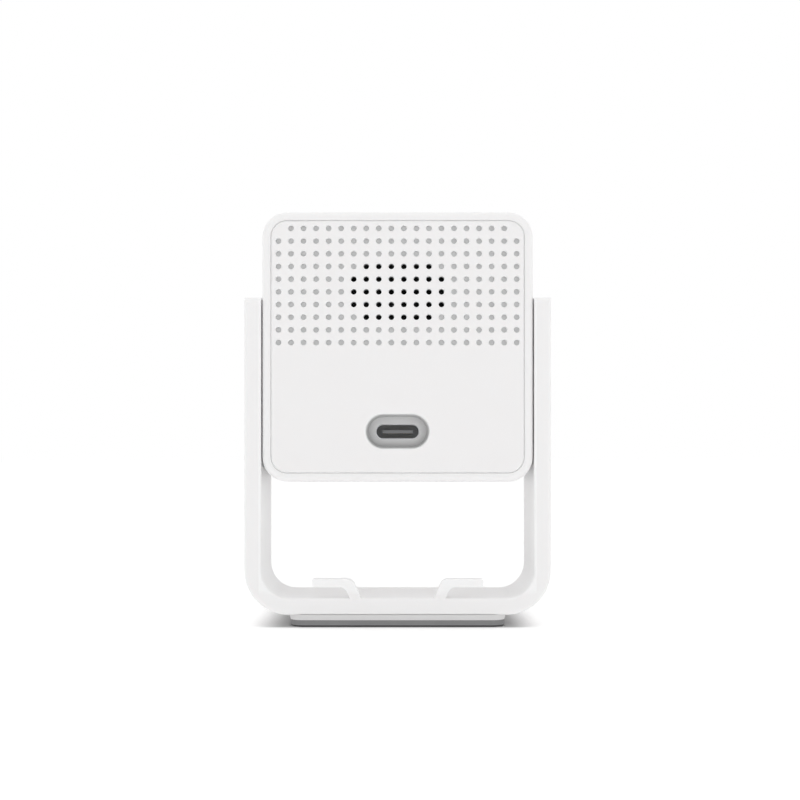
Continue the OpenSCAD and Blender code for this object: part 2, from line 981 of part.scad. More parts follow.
// The heads sit just below the tray's front face, under the window
module tray_screws() {
  sunk = 0.1;
  color(steel)
    in_head()
      tray_screw_places()
        translate([0, 0, -tray_t / 2])
          screw(tray_t / 2 + tray_thread, tray_t / 2 - sunk);
}

// ---- Lens and sensor ----

// Turns a profile about the lens axis: x is the radius, y runs forward from y0
module about_lens(y0) {
  in_head()
    translate([0, y0, 0])
      rotate([-90, 0, 0])
        rotate_extrude()
          children();
}

front_lens_d = 9;
rear_lens_d = 6;
lens_seat = 1.2;
front_seat = 3;
rear_seat = 1;
rear_lens_t = 2;

// A turned tube with a flange in the window's opening, and a seat for a lens at each end
module lens_barrel() {
  flange_len = 3;
  chamfer = 0.5;
  cone_foot = 4;
  bore = front_lens_d / 2;
  rear_bore = rear_lens_d / 2;
  color("#222326")
    about_lens(barrel_back)
      polygon([
        [rear_bore - lens_seat / 2, 0],
        [barrel_d / 2, 0],
        [barrel_d / 2, barrel_len - flange_len],
        [barrel_flange_d / 2, barrel_len - flange_len],
        [barrel_flange_d / 2, barrel_len - chamfer],
        [barrel_flange_d / 2 - chamfer, barrel_len],
        [bore + lens_seat, barrel_len],
        [bore, barrel_len - lens_seat],
        [bore, barrel_len - front_seat],
        [bore - lens_seat, barrel_len - front_seat],
        [rear_bore, cone_foot],
        [rear_bore, rear_seat],
        [rear_bore - lens_seat / 2, rear_seat]
      ]);
}

module front_lens() {
  dome_r = 7;
  rim_gap = 0.3;
  rim_y = barrel_len - lens_seat - rim_gap;
  sag = dome_r - sqrt(dome_r * dome_r - front_lens_d * front_lens_d / 4);
  color("#334a66")
    intersection() {
      about_lens(barrel_back + barrel_len - front_seat)
        square([front_lens_d / 2, front_seat + sag]);
      in_head()
        translate([0, barrel_back + rim_y + sag - dome_r, 0])
          sphere(dome_r);
    }
}

module rear_lens() {
  color("#415a72")
    about_lens(barrel_back + rear_seat)
      square([rear_lens_d / 2, rear_lens_t]);
}

// The holder is a block on the sensor board, with the filter's slot and a socket for the barrel
holder_y = sensor_front;
holder_h = 15;
holder_left = 8;
socket_wall = 1.5;
filter_t = 1.2;
filter_w = 7.4;
filter_travel = 6.6;
filter_end = 0.3;
slot_fit = 0.1;
slot_up = 2.1;
slot_y = holder_y + slot_up;
slot_wall = 1;
holder_right = filter_w / 2 + filter_travel + filter_end + 1.3;
block_front = slot_y + filter_t + 2 * slot_fit + slot_wall;

module lens_holder() {
  sensor_room = 9.2;
  sensor_room_t = 1.2;
  color(black)
    in_head()
      difference() {
        union() {
          translate([-holder_left, holder_y, -holder_h / 2])
            cube([holder_left + holder_right, block_front - holder_y, holder_h]);
          between(block_front - over, block_front + holder_socket)
            circle(d = barrel_d + 2 * socket_wall);
        }
        between(barrel_back, block_front + holder_socket + over)
          circle(d = barrel_d);
        between(holder_y - over, barrel_back + over)
          circle(d = rear_lens_d);
        between(holder_y - over, holder_y + sensor_room_t)
          square(sensor_room, center = true);
        translate([-filter_w / 2 - filter_end, slot_y, -filter_w / 2 - slot_fit])
          cube([
            filter_w + filter_travel + 2 * filter_end,
            filter_t + 2 * slot_fit,
            filter_w + 2 * slot_fit
          ]);
      }
}

module ir_cut_filter() {
  color("#6f9fb0")
    in_head()
      translate([-filter_w / 2, slot_y + slot_fit, -filter_w / 2])
        cube([filter_w, filter_t, filter_w]);
}

// A winding between two cheeks, on the side of the holder
module ir_cut_coil() {
  cheek_w = 6;
  cheek_h = 4.4;
  cheek_t = 0.7;
  coil_d = 4;
  coil_len = 4;
  color(copper)
    in_head()
      translate([-holder_left, sensor_front, 0])
        rotate([0, -90, 0]) {
          for (x = [0, coil_len - cheek_t])
            translate([-cheek_w / 2, 0, x])
              cube([cheek_w, cheek_h, cheek_t]);
          translate([0, cheek_h / 2, 0])
            cylinder(d = coil_d, h = coil_len - cheek_t / 2);
        }
}

module sensor_board() {
  corner_r = 1.5;
  color(board_green)
    in_head()
      between(sensor_back, sensor_front)
        difference() {
          rounded(sensor_w, sensor_w, corner_r);
          for (sx = [-1, 1], sz = [-1, 1])
            translate([sx * sensor_screw, sz * sensor_screw])
              circle(d = screw_d + 2 * seat_fit);
        }
}

module image_sensor() {
  chip = [8, 7];
  chip_h = 0.9;
  color("#2d3036")
    in_head()
      between(sensor_front, sensor_front + chip_h)
        square(chip, center = true);
}

module sensor_screws() {
  head_t = 1.2;
  color(steel)
    in_head()
      four_corners(2 * sensor_screw, 2 * sensor_screw)
        translate([0, sensor_back, 0])
          rotate([-90, 0, 0])
            screw(small_board_t + thread_len, head_t);
}

// A rubber tube round the barrel, pressed against the back of the window
baffle_gap = 0.2;
baffle_t = 1;
baffle_tail = 0.4;

module light_baffle() {
  color("#2a2a2b")
    about_lens(ring_back - baffle_tail)
      translate([barrel_flange_d / 2 + baffle_gap, 0])
        square([baffle_t, window_back - ring_back + baffle_tail]);
}

// A ring for the lamps, with a neck down to the microphone
module ring_outline() {
  ring_side = 2.4;
  ring_fit = 0.05;
  neck_w = 12;
  neck_end = 2.5;
  difference() {
    union() {
      circle(r = lamp_ring_r + ring_side);
      translate([-neck_w / 2, mic_z - neck_end])
        square([neck_w, neck_end - mic_z - lamp_ring_r + over / 2]);
    }
    circle(d = barrel_flange_d + 2 * (baffle_gap + baffle_t + ring_fit));
  }
}

module ir_led_board() {
  color(board_green)
    in_head()
      between(ring_back, ring_front)
        ring_outline();
}

module ir_leds() {
  lamp_w = 2.8;
  lamp_t = 0.8;
  dome_d = 2.4;
  dome_t = 0.7;
  color("#e8e4c8")
    in_head()
      for (i = [0:lamps - 1])
        rotate([0, 360 / lamps * i, 0])
          translate([lamp_ring_r, 0, 0]) {
            between(ring_front, ring_front + lamp_t)
              square(lamp_w, center = true);
            between(ring_front + lamp_t, ring_front + lamp_t + dome_t)
              circle(d = dome_d);
          }
}

status_t = 0.8;

module light_sensor() {
  chip_side = 1.6;
  color("#d8d8c0")
    in_head(0, mic_z + light_up)
      between(ring_front, ring_front + status_t)
        square(chip_side, center = true);
}

module status_led() {
  color("#dfe8ff")
    in_head(status_x, mic_z)
      between(ring_front, ring_front + status_t)
        square(pipe_d, center = true);
}

module light_pipe() {
  color("#e8f0f4")
    in_head(status_x, mic_z)
      between(ring_front + status_t, window_back)
        circle(d = pipe_d);
}

mic_t = 1;

module microphone() {
  can = [3, 2.6];
  color("#c6c8cc")
    in_head(-status_x, mic_z)
      between(ring_front, ring_front + mic_t)
        square(can, center = true);
}

module mic_boot() {
  color(rubber)
    in_head(-status_x, mic_z)
      between(ring_front + mic_t, window_back)
        difference() {
          circle(d = boot_d);
          circle(d = mic_bore);
        }
}

// ---- Main board ----

// Heights on the board are measured from its lower edge
board_low = -main_h / 2;
chip_up = board_low + 28;
chip_t = 1.4;
pad_soft_t = 0.8;
spreader_t = 1.2;

module main_board() {
  corner_r = 1;
  color(board_green)
    in_head()
      between(main_back, main_front)
        difference() {
          rounded(main_w, main_h, corner_r);
          for (sx = [-1, 1], sz = [-1, 1])
            translate([sx * post_dx / 2, sz * post_dz / 2])
              circle(d = screw_d + 2 * seat_fit);
        }
}

module board_screws() {
  head_t = 1.3;
  color(steel)
    in_head()
      four_corners(post_dx, post_dz)
        translate([0, main_front, 0])
          rotate([90, 0, 0])
            screw(board_t + thread_len, head_t);
}

module processor() {
  chip_w = 14;
  color("#26282c")
    in_head(0, chip_up)
      between(main_front, main_front + chip_t)
        square(chip_w, center = true);
}

module thermal_pad() {
  pad_side = 13;
  color("#8fa3b5")
    in_head(0, chip_up)
      between(main_front + chip_t, main_front + chip_t + pad_soft_t)
        square(pad_side, center = true);
}

// A plate with seven ribs that spreads the processor's heat
module heat_spreader() {
  plate_w = 26;
  plate_h = 22;
  rib_t = 1;
  rib_h = 2.4;
  rib_pitch = 4;
  plate_back = main_front + chip_t + pad_soft_t;
  color("#a9acb0")
    in_head(0, chip_up) {
      between(plate_back, plate_back + spreader_t)
        square([plate_w, plate_h], center = true);
      between(plate_back + spreader_t, plate_back + spreader_t + rib_h)
        for (i = [-3:3])
          translate([i * rib_pitch, 0])
            square([rib_t, plate_h], center = true);
    }
}

module memory_chips() {
  memory_w = 7;
  memory_h = 9;
  memory_t = 1;
  memory_x = 12;
  color("#26282c")
    in_head(0, chip_up)
      between(main_front, main_front + memory_t)
        for (sx = [-1, 1])
          translate([sx * memory_x, 0])
            square([memory_w, memory_h], center = true);
}

shield_x = -15;
shield_up = board_low + 7;
shield_w = 12;
shield_h = 9;
shield_t = 1.8;

module wifi_shield() {
  color("#b4b7ba")
    in_head(shield_x, shield_up)
      translate([0, main_front, 0])
        cube([shield_w, shield_t, shield_h]);
}

cable_t = 0.3;
socket_t = 1.2;
socket_h = 2.4;
socket_side = 0.6;
sensor_cable_x = 4;
sensor_cable_w = 8;
sensor_cable_up = 5;
sensor_cable_z = sensor_cable_up - sensor_w / 2;
main_cable_up = 10;
main_cable_z = board_low + main_cable_up;
lamp_cable_w = 6;
lamp_cable_z = mic_z + 0.4;
lamp_main_z = board_low + 3.5;

// Side view of a flat cable of thickness t through a list of points, back to front
module ribbon(points, t) {
  last = len(points) - 1;
  polygon(concat(
    [for (p = points) p + [0, t / 2]],
    [for (i = [last:-1:0]) points[i] - [0, t / 2]]
  ));
}

// A flat cable of width w about x, along points in Y and Z
module flat_cable(x, w, points) {
  color("#d6cfc0")
    in_head(x - w / 2)
      rotate([90, 0, 90])
        linear_extrude(height = w)
          ribbon(points, cable_t);
}

// Flat cable from the main board to the sensor board
module sensor_cable() {
  y0 = main_front + socket_t;
  y1 = sensor_back - socket_t;
  straight = 4;
  sag = 2;
  flat_cable(sensor_cable_x, sensor_cable_w, [
    [y0, main_cable_z],
    [y0 + straight, main_cable_z - sag],
    [y1 - straight, sensor_cable_z - sag],
    [y1, sensor_cable_z]
  ]);
}

// Flat cable from the main board past the sensor board to the lamps' board
module led_cable() {
  y0 = main_front + socket_t;
  y1 = ring_back - socket_t;
  straight = 5;
  low = mic_z - 1;
  flat_cable(0, lamp_cable_w, [
    [y0, lamp_main_z],
    [y0 + straight, low],
    [y1 - straight, low],
    [y1, lamp_cable_z]
  ]);
}

// A socket for a flat cable of width w, from y0 forward
module cable_socket(x, z, y0, w) {
  translate([x, 0, z])
    between(y0, y0 + socket_t)
      square([w + 2 * socket_side, socket_h], center = true);
}

module cable_sockets() {
  color("#3a3b3d")
    in_head() {
      cable_socket(sensor_cable_x, main_cable_z, main_front, sensor_cable_w);
      cable_socket(sensor_cable_x, sensor_cable_z, sensor_back - socket_t, sensor_cable_w);
      cable_socket(0, lamp_main_z, main_front, lamp_cable_w);
      cable_socket(0, lamp_cable_z, ring_back - socket_t, lamp_cable_w);
    }
}

antenna_t = 0.3;
antenna_len = 16;
antenna_h = 9;
antenna_back = -6;

// Flat antenna on the shell's left wall, ahead of the hinge
module antenna() {
  color(brass)
    in_head(-cavity_w / 2, shield_up)
      translate([0, antenna_back, 0])
        cube([antenna_t, antenna_len, antenna_h]);
}

// Round cable from the radio's shield to the antenna, with one bend
module antenna_cable() {
  d = 1.1;
  bend_r = 3;
  overlap = 3;
  x_wall = -cavity_w / 2 + antenna_t + d / 2;
  y_board = main_front + shield_t / 2;
  color("#3c3c40")
    in_head(0, shield_up + shield_h / 3)
      translate([x_wall + bend_r, y_board + bend_r, 0]) {
        rotate([0, 0, 180])
          rotate_extrude(angle = 90)
            translate([bend_r, 0])
              circle(d / 2);
        translate([0, -bend_r, 0])
          rotate([0, 90, 0])
            cylinder(d = d, h = shield_x - x_wall - bend_r);
        translate([-bend_r, 0, 0])
          rotate([-90, 0, 0])
            cylinder(d = d, h = antenna_back + overlap - y_board - bend_r);
      }
}

// A round wire along straight runs, with round joints
module wire(points, d) {
  for (i = [0:len(points) - 2]) {
    run = points[i + 1] - points[i];
    translate(points[i])
      rotate([0, acos(run[2] / norm(run)), atan2(run[1], run[0])])
        cylinder(d = d, h = norm(run), $fn = 24);
  }
  for (i = [1:len(points) - 2])
    translate(points[i])
      sphere(d = d * 1.04, $fn = 24);
}

// ---- Speaker ----

mesh_t = 0.2;
gasket_t = 0.8;
gasket_w = 2;
frame_wall = 1;
frame_back = panel_y + mesh_t + gasket_t;
frame_front = frame_back + speaker_d;

module grille_mesh() {
  color("#101010")
    in_head(0, speaker_up)
      between(panel_y, panel_y + mesh_t)
        stadium(speaker_w, speaker_h);
}

module speaker_gasket() {
  color("#303030")
    in_head(0, speaker_up)
      between(panel_y + mesh_t, frame_back)
        difference() {
          stadium(speaker_w, speaker_h);
          stadium(speaker_w - 2 * gasket_w, speaker_h - 2 * gasket_w);
        }
}

module speaker_frame() {
  color("#2b2c2e")
    in_head(0, speaker_up)
      difference() {
        between(frame_back, frame_front)
          stadium(speaker_w, speaker_h);
        between(frame_back - over, frame_front - frame_wall)
          stadium(speaker_w - 2 * frame_wall, speaker_h - 2 * frame_wall);
      }
}

module speaker_cone() {
  cone_back = frame_back + 0.4;
  cone_t = 0.8;
  dish_r = 6.3;
  dish_depth = 0.3;
  color("#45474a")
    in_head(0, speaker_up)
      difference() {
        between(cone_back, cone_back + cone_t)
          stadium(speaker_w - 2 * frame_wall, speaker_h - 2 * frame_wall);
        translate([0, cone_back + dish_depth - dish_r, 0])
          sphere(r = dish_r);
      }
}

module speaker_magnet() {
  magnet_d = 12;
  magnet_t = 2.4;
  color("#8d9094")
    in_head(0, speaker_up)
      between(frame_front, frame_front + magnet_t)
        circle(d = magnet_d);
}

// Two wires side by side from the speaker's frame to the main board
module speaker_wires() {
  d = 0.9;
  pitch = 1.3;
  start_x = 9;
  board_x = 12;
  bend_drop = 4;
  board_drop = 9;
  color("#7a2626")
    in_head(0, speaker_up)
      for (s = [0, 1])
        wire([
          [start_x + pitch * s, frame_front + d / 2, 0],
          [board_x + pitch * s, frame_front + d / 2, -bend_drop],
          [board_x + pitch * s, main_back - d / 2, -board_drop]
        ], d);
}

// ---- Cable inlet ----

module usb_shell() {
  color(steel)
    in_head(0, -inlet_drop)
      between(usb_rear, usb_rear + inlet_len)
        difference() {
          stadium(inlet_w, inlet_h);
          stadium(inlet_w - 2 * inlet_wall, inlet_h - 2 * inlet_wall);
        }
}

// The tongue stands on a block that closes the shell's inner end
module usb_tongue() {
  block = 1.8;
  set_in = 1;
  color("#2e2f31")
    in_head(0, -inlet_drop) {
      between(usb_rear + inlet_len - block, usb_rear + inlet_len)
        stadium(inlet_w - 2 * inlet_wall, inlet_h - 2 * inlet_wall);
      between(usb_rear + set_in, usb_rear + inlet_len - block / 2)
        square([tongue_w, tongue_t], center = true);
    }
}

module usb_board() {
  color(board_green)
    in_head()
      translate([-usb_board_w / 2, usb_rear, usb_top - usb_board_t])
        cube([usb_board_w, main_back - usb_rear, usb_board_t]);
}

// A connector between the inlet's board and the main board
module board_link() {
  link_w = 3.6;
  link_d = 2;
  link_h = 3;
  color("#c8c4b0")
    in_head(1 - usb_board_w / 2, usb_top)
      translate([0, main_back - link_d, 0])
        cube([link_w, link_d, link_h]);
}

// ---- Setup button ----

button_y = rear_y + button_back;
button_floor = pivot_z - head_h / 2;
button_flange = 0.8;
button_gap = 0.06;
switch_top = pivot_z + usb_top - usb_board_t;
switch_t = 1.8;
plunger_d = 1.6;
plunger_drop = button_travel + 0.3;

module button_switch() {
  body = [4, 3.2];
  roof = 0.4;
  color("#c9ccd0")
    translate([0, button_y, switch_top - switch_t])
      difference() {
        translate([-body[0] / 2, -body[1] / 2, 0])
          cube([body[0], body[1], switch_t]);
        translate([0, 0, -over])
          cylinder(d = plunger_d + 2 * run_fit, h = over + switch_t - roof);
      }
}

module switch_plunger() {
  inside = 0.6;
  color("#1c1d20")
    translate([0, button_y, switch_top - switch_t - plunger_drop])
      cylinder(d = plunger_d, h = plunger_drop + inside);
}

// A cap in the shell's floor, a flange above the floor, and a stem up to the switch
module setup_button() {
  stem_d = 2.2;
  stem_top = switch_top - switch_t - plunger_drop;
  inner = button_floor + wall + button_gap;
  color(white)
    translate([0, button_y, 0]) {
      translate([0, 0, button_floor])
        cylinder(d = button_d, h = wall + button_gap + button_flange / 2);
      translate([0, 0, inner])
        cylinder(d = button_d + 2 * button_flange, h = button_flange);
      translate([0, 0, inner])
        cylinder(d = stem_d, h = stem_top - inner);
    }
}

bracket();
base_plinth();
foot_pad();
base_screws();
pivot_pins();
pivot_caps();
friction_washers();
pivot_clips();
head_shell();
rear_cover();
front_tray();
front_window();
pivot_bushes();
tray_screws();
lens_barrel();
front_lens();
rear_lens();
lens_holder();
light_baffle();
ir_cut_filter();
ir_cut_coil();
sensor_board();
image_sensor();
sensor_screws();
ir_led_board();
ir_leds();
light_sensor();
status_led();
light_pipe();
microphone();
mic_boot();
main_board();
processor();
memory_chips();
wifi_shield();
thermal_pad();
heat_spreader();
board_screws();
sensor_cable();
led_cable();
cable_sockets();
antenna();
antenna_cable();
speaker_frame();
speaker_cone();
speaker_magnet();
speaker_gasket();
grille_mesh();
speaker_wires();
usb_shell();
usb_tongue();
usb_board();
board_link();
button_switch();
switch_plunger();
setup_button();
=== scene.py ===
import math

import bmesh
import bpy
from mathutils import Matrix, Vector


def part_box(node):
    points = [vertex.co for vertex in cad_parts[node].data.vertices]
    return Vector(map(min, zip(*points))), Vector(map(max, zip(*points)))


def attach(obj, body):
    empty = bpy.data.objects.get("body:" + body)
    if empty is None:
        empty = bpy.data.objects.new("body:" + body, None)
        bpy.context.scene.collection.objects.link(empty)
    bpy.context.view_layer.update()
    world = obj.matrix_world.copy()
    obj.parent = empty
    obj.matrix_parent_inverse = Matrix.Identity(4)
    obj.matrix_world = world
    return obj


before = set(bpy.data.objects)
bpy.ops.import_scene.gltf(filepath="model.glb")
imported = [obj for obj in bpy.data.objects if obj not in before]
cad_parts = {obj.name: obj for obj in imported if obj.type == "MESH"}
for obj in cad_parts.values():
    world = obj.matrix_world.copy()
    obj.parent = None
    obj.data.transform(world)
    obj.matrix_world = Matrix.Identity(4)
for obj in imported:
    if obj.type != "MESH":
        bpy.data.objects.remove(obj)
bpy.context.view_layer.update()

# ---- Foot pad ----
# A soft dark grey pad under the plinth, compression moulded in silicone rubber and
# bonded on. Its skin is dull, with a fine grain. Its foot is painted dark: painted shade where it
# meets the table.

MM = 0.001
RUBBER_GRAIN = 0.3 * MM
TONE_PATCH = 12 * MM
PAINTED_SHADE_HEIGHT = 0.25 * MM


def linear(code):
    """A colour written as sRGB hex, in Blender's linear red, green, blue and alpha."""
    parts = [int(code[i : i + 2], 16) / 255 for i in (1, 3, 5)]
    return [p / 12.92 if p <= 0.04045 else ((p + 0.055) / 1.055) ** 2.4 for p in parts] + [1.0]


def add(tree, kind, inputs=None, **settings):
    """Adds a node. Each input is a value, or the output of another node that feeds it."""
    made = tree.nodes.new("ShaderNode" + kind)
    for name, value in settings.items():
        setattr(made, name, value)
    for socket, value in (inputs or {}).items():
        if isinstance(value, bpy.types.NodeSocket):
            tree.links.new(value, made.inputs[socket])
        else:
            made.inputs[socket].default_value = value
    return made


def new_finish(name):
    """An empty material, its nodes, and the output that its shader goes to."""
    finish = bpy.data.materials.new(name)
    finish.use_nodes = True
    tree = finish.node_tree
    tree.nodes.clear()
    return finish, tree, add(tree, "OutputMaterial")


def moulded(name, light, dark, roughness, grain, depth, **shader):
    """A moulded skin: a grain of that width and depth, and a tone that drifts over each patch."""
    finish, tree, out = new_finish(name)
    place = add(tree, "TexCoord").outputs["Object"]
    drift = add(tree, "TexNoise", {"Vector": place, "Scale": 1 / TONE_PATCH, "Detail": 3.0})
    fine = add(
        tree, "TexNoise", {"Vector": place, "Scale": 1 / grain, "Detail": 4.0, "Roughness": 0.6}
    )
    tone = add(
        tree, "Mix", {0: drift.outputs[0], 6: linear(dark), 7: linear(light)}, data_type="RGBA"
    )
    sheen = add(
        tree,
        "MapRange",
        {
            "Value": fine.outputs[0],
            "From Min": 0.3,
            "From Max": 0.7,
            "To Min": roughness - 0.05,
            "To Max": roughness + 0.05,
        },
    )
    skin = add(tree, "Bump", {"Height": fine.outputs[0], "Strength": 1.0, "Distance": depth})
    body = add(
        tree,
        "BsdfPrincipled",
        {
            "Base Color": tone.outputs[2],
            "Roughness": sheen.outputs[0],
            "Normal": skin.outputs[0],
            **shader,
        },
    )
    tree.links.new(body.outputs[0], out.inputs[0])
    return finish


def dress(finish, *names):
    """Gives CAD nodes their finish."""
    for name in names:
        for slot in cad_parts[name].material_slots:
            slot.material = finish


grey_rubber = moulded(
    "silicone_rubber_pad", "#888888", "#7E7E7F", 0.72, RUBBER_GRAIN, 0.012 * MM, IOR=1.43
)
pad = grey_rubber.node_tree
skin = pad.nodes["Principled BSDF"]
pad_tone = skin.inputs["Base Color"].links[0].from_socket
place = add(pad, "SeparateXYZ", {0: add(pad, "TexCoord").outputs["Object"]})
# Painted shade: the lowest quarter millimetre of the pad is painted near black.
above_painted_shade = add(
    pad,
    "MapRange",
    {"Value": place.outputs["Z"], "From Min": PAINTED_SHADE_HEIGHT, "From Max": 1.6 * PAINTED_SHADE_HEIGHT},
)
tone = add(
    pad, "Mix", {0: above_painted_shade.outputs[0], 6: linear("#272728"), 7: pad_tone}, data_type="RGBA"
)
pad.links.new(tone.outputs[2], skin.inputs["Base Color"])
dress(grey_rubber, "foot_pad")

# ---- Plinth ----
# A thin square plate between the pad and the bracket, injection moulded in matt ABS.
# Its colour is painted greyer than the bracket above it: painted shade under the bar.

# Spark-eroded moulds leave pits of about 0.05 mm, drawn 0.25 mm wide so that they show.
SPARK_GRAIN = 0.25 * MM
# Painted shade: the plinth's grey tone stands in for the shade under the bracket's bar.
dress(
    moulded("abs_plinth_painted_shade", "#DFDEDE", "#D9D8D8", 0.5, SPARK_GRAIN, 0.004 * MM, IOR=1.54),
    "base_plinth",
)

# ---- Plinth screws ----
# Two countersunk steel screws that hold the plinth under the bracket's bar. Their zinc
# plating is a soft grey metal, clouded rather than mirror bright.


def plated(name, light, dark, roughness, grain, stretch=(1, 1, 1)):
    """A plated or rolled metal: bright, with a grain stretched the way it was worked."""
    finish, tree, out = new_finish(name)
    place = add(tree, "TexCoord").outputs["Object"]
    along = add(tree, "Mapping", {"Vector": place, "Scale": stretch})
    grains = add(
        tree, "TexNoise", {"Vector": along.outputs[0], "Scale": 1 / grain, "Detail": 5.0}
    )
    tone = add(
        tree, "Mix", {0: grains.outputs[0], 6: linear(dark), 7: linear(light)}, data_type="RGBA"
    )
    sheen = add(
        tree,
        "MapRange",
        {"Value": grains.outputs[0], "To Min": roughness - 0.08, "To Max": roughness + 0.08},
    )
    skin = add(
        tree, "Bump", {"Height": grains.outputs[0], "Strength": 0.6, "Distance": 0.004 * MM}
    )
    body = add(
        tree,
        "BsdfPrincipled",
        {
            "Base Color": tone.outputs[2],
            "Roughness": sheen.outputs[0],
            "Normal": skin.outputs[0],
            "Metallic": 1.0,
        },
    )
    tree.links.new(body.outputs[0], out.inputs[0])
    return finish


zinc_plate = plated("zinc_plated_steel", "#C6C8CB", "#A9ACB1", 0.36, 0.4 * MM)
dress(zinc_plate, "base_screws")

# ---- Bracket ----
# A U-shaped stand moulded in one piece with its two cable hooks, in matt white ABS.
# Its edges are rounded and its skin is spark-eroded, so that it looks soft and even.

# Light goes about 0.7 mm into white ABS and comes out again, which softens its edges.
LIGHT_DEPTH = {
    "Subsurface Weight": 0.5,
    "Subsurface Scale": 0.7 * MM,
    "Subsurface Radius": (1.0, 0.97, 0.95),
}
WHITE_SKIN = 0.002 * MM

# Painted light: the inside of the arms and the hooks is painted a shade whiter than the
# outside, to lift the shade between the arms and under the head.
PAINTED_LIGHT_X = 27.0 * MM
PAINTED_LIGHT_X_BLEND = 0.2 * MM
PAINTED_LIGHT_Z = 6.3 * MM
PAINTED_LIGHT_Z_BLEND = 1 * MM
white_bracket = moulded(
    "white_abs_bracket",
    "#F8F7F7",
    "#F7F5F5",
    0.46,
    SPARK_GRAIN,
    WHITE_SKIN,
    IOR=1.54,
    **LIGHT_DEPTH,
)
stand = white_bracket.node_tree
skin = stand.nodes["Principled BSDF"]
outer_tone = skin.inputs["Base Color"].links[0].from_socket
place = add(stand, "SeparateXYZ", {0: add(stand, "TexCoord").outputs["Object"]})
across = add(stand, "Math", {0: place.outputs["X"]}, operation="ABSOLUTE")
within = add(
    stand,
    "MapRange",
    {"Value": across.outputs[0], "From Min": PAINTED_LIGHT_X + PAINTED_LIGHT_X_BLEND, "From Max": PAINTED_LIGHT_X},
)
above = add(
    stand,
    "MapRange",
    {"Value": place.outputs["Z"], "From Min": PAINTED_LIGHT_Z, "From Max": PAINTED_LIGHT_Z + PAINTED_LIGHT_Z_BLEND},
)
painted_light = add(stand, "Math", {0: within.outputs[0], 1: above.outputs[0]}, operation="MULTIPLY")
tone = add(
    stand, "Mix", {0: painted_light.outputs[0], 6: outer_tone, 7: linear("#FFFFFF")}, data_type="RGBA"
)
stand.links.new(tone.outputs[2], skin.inputs["Base Color"])
dress(white_bracket, "bracket")

# ---- Hinge ----
# Two turned steel pins, bright and finely ringed, run in waxy cream acetal bushes in the
# head's sides. Blued spring washers give the friction and blued clips hold the pins.

dress(plated("turned_steel_pin", "#CFD1D4", "#B4B7BB", 0.28, 0.3 * MM, (9, 1, 1)), "pivot_pins")
dress(
    plated("blued_spring_steel", "#5F636B", "#4A4E57", 0.32, 0.3 * MM),
    "pivot_clips",
    "friction_washers",
)
dress(
    moulded("natural_acetal", "#EAE6D8", "#E1DCCB", 0.38, 0.4 * MM, 0.002 * MM, IOR=1.48),
    "pivot_bushes",
)

# ---- Hinge caps ----
# Two flat discs that close the bores in the arms, moulded in the bracket's matt white ABS
# and pressed in flush.

white_abs = moulded(
    "white_abs_body", "#F8F7F7", "#F7F5F5", 0.46, SPARK_GRAIN, WHITE_SKIN, IOR=1.54, **LIGHT_DEPTH
)
dress(white_abs, "pivot_caps")

# ---- Head shell ----
# A deep square sleeve with round edges, moulded in the same matt white ABS as the
# bracket, with bosses for the hinge and rails for the screws inside.

dress(white_abs, "head_shell")

# ---- Antenna ----
# An etched copper foil stuck to the shell's left wall, warm and bright, fed by a thin
# coaxial lead in a dull black PVC sheath.

dress(plated("etched_copper", "#D08A5B", "#B66F41", 0.3, 0.5 * MM), "antenna")
dress(
    moulded("black_pvc_sheath", "#2C2C2F", "#242427", 0.5, 0.3 * MM, 0.003 * MM), "antenna_cable"
)

# ---- Lens ----
# A black anodised barrel, finely ringed, carries two ground glass lenses. The glass of
# the filter behind them has the same coating.

dress(
    plated("black_anodised_barrel", "#26272A", "#1B1C1F", 0.42, 0.2 * MM, (1, 12, 1)),
    "lens_barrel",
)

# The coating is a quarter of a wavelength thick, which tints what the glass reflects.
COATING_NM = 120.0
DUST_SPOT = 0.6 * MM
coated_glass, glass, out = new_finish("coated_optical_glass")
place = add(glass, "TexCoord").outputs["Object"]
dust = add(glass, "TexNoise", {"Vector": place, "Scale": 1 / DUST_SPOT, "Detail": 2.0})
polish = add(glass, "MapRange", {"Value": dust.outputs[0], "To Min": 0.0, "To Max": 0.01})
optic = add(
    glass,
    "BsdfPrincipled",
    {
        "Base Color": linear("#DCE6EE"),
        "Roughness": polish.outputs[0],
        "IOR": 1.6,
        "Transmission Weight": 1.0,
        "Thin Film Thickness": COATING_NM,
        "Thin Film IOR": 1.38,
    },
)
glass.links.new(optic.outputs[0], out.inputs[0])
dress(coated_glass, "front_lens", "rear_lens", "ir_cut_filter")

# ---- Lens holder ----
# A block moulded in black glass-filled nylon, dull and slightly rough, with a slot for
# the infra-red filter. The barrel screws into it.

black_nylon = moulded(
    "black_nylon", "#1E1E20", "#17171A", 0.55, 0.25 * MM, 0.004 * MM, IOR=1.53
)
dress(black_nylon, "lens_holder")

# ---- Windings ----
# The coil beside the holder that shifts the filter, wound in enamelled copper wire. Its
# lacquer is glossy over warm metal. The speaker's wires are the same.

